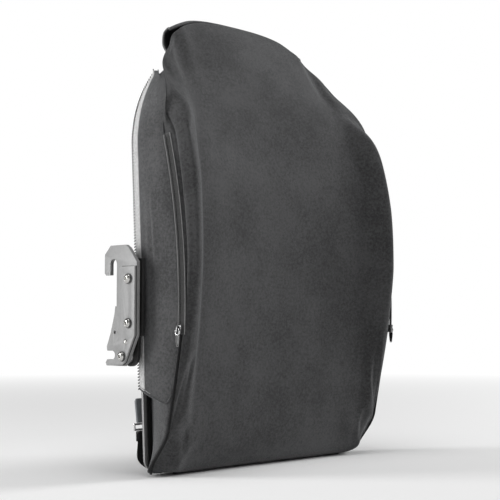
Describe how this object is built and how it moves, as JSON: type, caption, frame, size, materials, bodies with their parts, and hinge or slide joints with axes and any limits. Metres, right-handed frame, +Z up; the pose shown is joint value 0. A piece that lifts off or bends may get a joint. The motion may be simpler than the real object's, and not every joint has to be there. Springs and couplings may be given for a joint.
{
  "type": "wheelchair back support",
  "caption": "Deep contour wheelchair back support: a padded cushion with side bolsters in a stretch cover, on a curved shell with hook-on side brackets.",
  "frame": {"origin": "under the middle of the whole object, level with its lowest point", "axes": "+X to the right seen from the front, -Y towards the user, +Z up"},
  "size_m": [0.4494, 0.1511, 0.579],
  "materials": {
    "shell_paint": "satin grey powder coat",
    "loop_tape": "black loop pile",
    "foam": "open-cell foam",
    "soft_foam": "soft open-cell foam",
    "cover_fabric": "dark grey stretch spacer knit, matt",
    "lining_fabric": "black laminated lining",
    "flap_fabric": "mid grey brushed knit",
    "binding_tape": "light grey edge tape, overlocked",
    "zip_tape": "woven zip tape",
    "zip_teeth": "black nylon coil",
    "zip_metal": "black and bright zip metal",
    "webbing": "black webbing",
    "bright_wire": "bright wire",
    "tab_plastic": "grey pull tab",
    "plate_paint": "light grey satin powder coat",
    "bracket_paint": "black powder coat",
    "bolt_steel": "zinc plated",
    "black_bolt": "black oxide",
    "washer_steel": "dark plated",
    "catch_steel": "ground steel"
  },
  "bodies": {
    "back": {"shell": "shell_paint", "shell_loop_strips": "loop_tape", "base_foam": "foam", "comfort_layer": "soft_foam", "bolster_left": "foam", "bolster_right": "foam", "cover_front": "cover_fabric", "cover_hood": "cover_fabric", "cover_tail": "lining_fabric", "side_flap_left": "flap_fabric", "side_flap_right": "flap_fabric", "flap_binding_left": "binding_tape", "flap_binding_right": "binding_tape", "zip_tape_left": "zip_tape", "zip_tape_right": "zip_tape", "zip_teeth_left": "zip_teeth", "zip_teeth_right": "zip_teeth", "tail_strap_left": "webbing", "tail_strap_right": "webbing", "tail_buckle_left": "bright_wire", "tail_buckle_right": "bright_wire", "tail_tab_left": "tab_plastic", "tail_tab_right": "tab_plastic", "hook_plate_left": "plate_paint", "hook_plate_right": "plate_paint", "outer_plate_left": "plate_paint", "outer_plate_right": "plate_paint", "bracket_left": "bracket_paint", "bracket_right": "bracket_paint", "plate_spacers_left": "bolt_steel", "plate_spacers_right": "bolt_steel", "plate_bolts_left": "bolt_steel", "plate_bolts_right": "bolt_steel", "plate_washers_left": "washer_steel", "plate_washers_right": "washer_steel", "plate_nuts_left": "bolt_steel", "plate_nuts_right": "bolt_steel", "stop_pin_left": "bolt_steel", "stop_pin_right": "bolt_steel", "shell_bolts_left": "black_bolt", "shell_bolts_right": "black_bolt", "shell_washers_left": "washer_steel", "shell_washers_right": "washer_steel", "shell_nuts_left": "bolt_steel", "shell_nuts_right": "bolt_steel"},
    "catch_left": {"catch_left": "catch_steel"},
    "zip_slider_left": {"zip_slider_left": "zip_metal"},
    "zip_pull_left": {"zip_pull_left": "zip_metal"},
    "catch_right": {"catch_right": "catch_steel"},
    "zip_slider_right": {"zip_slider_right": "zip_metal"},
    "zip_pull_right": {"zip_pull_right": "zip_metal"}
  },
  "joints": [
    {"name": "catch_swing_left", "type": "hinge", "parent": "back", "child": "catch_left", "pos_m": [-0.2102, 0.011, 0.141], "axis": [-1, 0, 0], "range_deg": [0, 16]},
    {"name": "zip_travel_left", "type": "hinge", "parent": "back", "child": "zip_slider_left", "pos_m": [-0.191, 0.659, 0.203], "axis": [-1, 0, 0], "range_deg": [0, 17.9]},
    {"name": "zip_pull_flip_left", "type": "hinge", "parent": "zip_slider_left", "child": "zip_pull_left", "pos_m": [-0.1967, -0.0604, 0.1736], "axis": [0, 0.9991, 0.0417], "range_deg": [0, 150]},
    {"name": "catch_swing_right", "type": "hinge", "parent": "back", "child": "catch_right", "pos_m": [0.2102, 0.011, 0.141], "axis": [-1, 0, 0], "range_deg": [0, 16]},
    {"name": "zip_travel_right", "type": "hinge", "parent": "back", "child": "zip_slider_right", "pos_m": [0.191, 0.659, 0.203], "axis": [-1, 0, 0], "range_deg": [0, 17.9]},
    {"name": "zip_pull_flip_right", "type": "hinge", "parent": "zip_slider_right", "child": "zip_pull_right", "pos_m": [0.1967, -0.0604, 0.1736], "axis": [0, -0.9991, -0.0417], "range_deg": [0, 150]}
  ]
}
